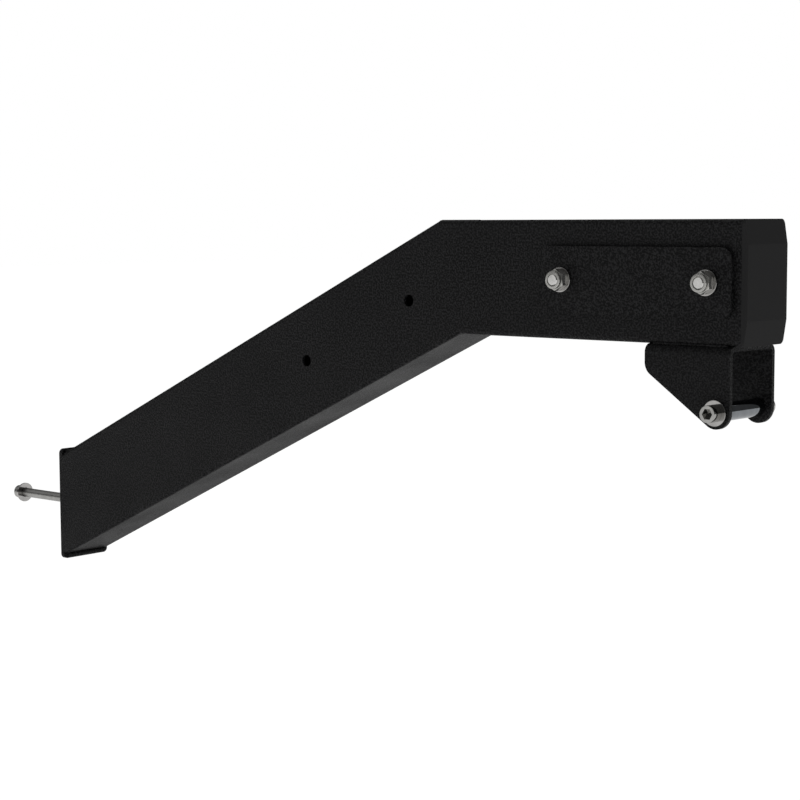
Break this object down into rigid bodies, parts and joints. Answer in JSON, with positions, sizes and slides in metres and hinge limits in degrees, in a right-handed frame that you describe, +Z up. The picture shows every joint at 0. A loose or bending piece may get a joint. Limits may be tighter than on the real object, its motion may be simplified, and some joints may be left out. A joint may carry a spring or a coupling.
{
  "type": "cantilever training arm",
  "caption": "Bent box-section cantilever arm with a bolt-through mounting plate at its low end and a clevis with a steel roller under its capped outer end.",
  "frame": {"origin": "centre of the mounting plate's back face, on the axis of the mounting bolt", "axes": "+X outward from the upright that carries the arm, +Z up, +Y to the side where the cross bolts have their heads"},
  "size_m": [0.966, 0.0926, 0.3651],
  "materials": {
    "textured_coat": "fine-textured matt black powder coat",
    "bare_steel": "bare mild steel, lightly oiled",
    "stainless": "stainless steel fasteners",
    "polished_steel": "polished chromed tube",
    "nylon": "natural nylon",
    "cap_plastic": "smooth moulded black polyethylene"
  },
  "bodies": {
    "arm": {"horizontal_tube": "textured_coat", "sloped_tube": "textured_coat", "mitre_weld": "textured_coat", "mounting_plate": "textured_coat", "upper_plate_weld": "textured_coat", "lower_plate_weld": "textured_coat", "mounting_nut": "bare_steel", "near_clamp_plate": "textured_coat", "far_clamp_plate": "textured_coat", "rear_crush_sleeve": "bare_steel", "front_crush_sleeve": "bare_steel", "rear_cross_bolt": "stainless", "front_cross_bolt": "stainless", "rear_head_washer": "stainless", "front_head_washer": "stainless", "rear_nut_washer": "stainless", "front_nut_washer": "stainless", "rear_lock_nut": "stainless", "front_lock_nut": "stainless", "rear_nut_insert": "nylon", "front_nut_insert": "nylon", "end_cap": "cap_plastic", "clevis_bracket": "textured_coat", "near_clevis_weld": "textured_coat", "far_clevis_weld": "textured_coat", "clevis_bolt": "stainless", "clevis_head_washer": "stainless", "clevis_nut_washer": "stainless", "clevis_lock_nut": "stainless", "clevis_nut_insert": "nylon"},
    "bolt_washer": {"mounting_washer": "stainless"},
    "long_bolt": {"mounting_bolt": "stainless"},
    "roller": {"clevis_roller": "polished_steel"}
  },
  "joints": [
    {"name": "mounting_bolt_draw", "type": "slide", "parent": "arm", "child": "bolt_washer", "axis": [-1, 0, 0], "range_m": [0, 0.125]},
    {"name": "mounting_bolt_turn", "type": "hinge", "parent": "bolt_washer", "child": "long_bolt", "pos_m": [-0.102, 0, 0], "axis": [1, 0, 0], "continuous": true},
    {"name": "roller_spin", "type": "hinge", "parent": "arm", "child": "roller", "pos_m": [0.8285, 0, 0.15234], "axis": [0, 1, 0], "continuous": true}
  ]
}
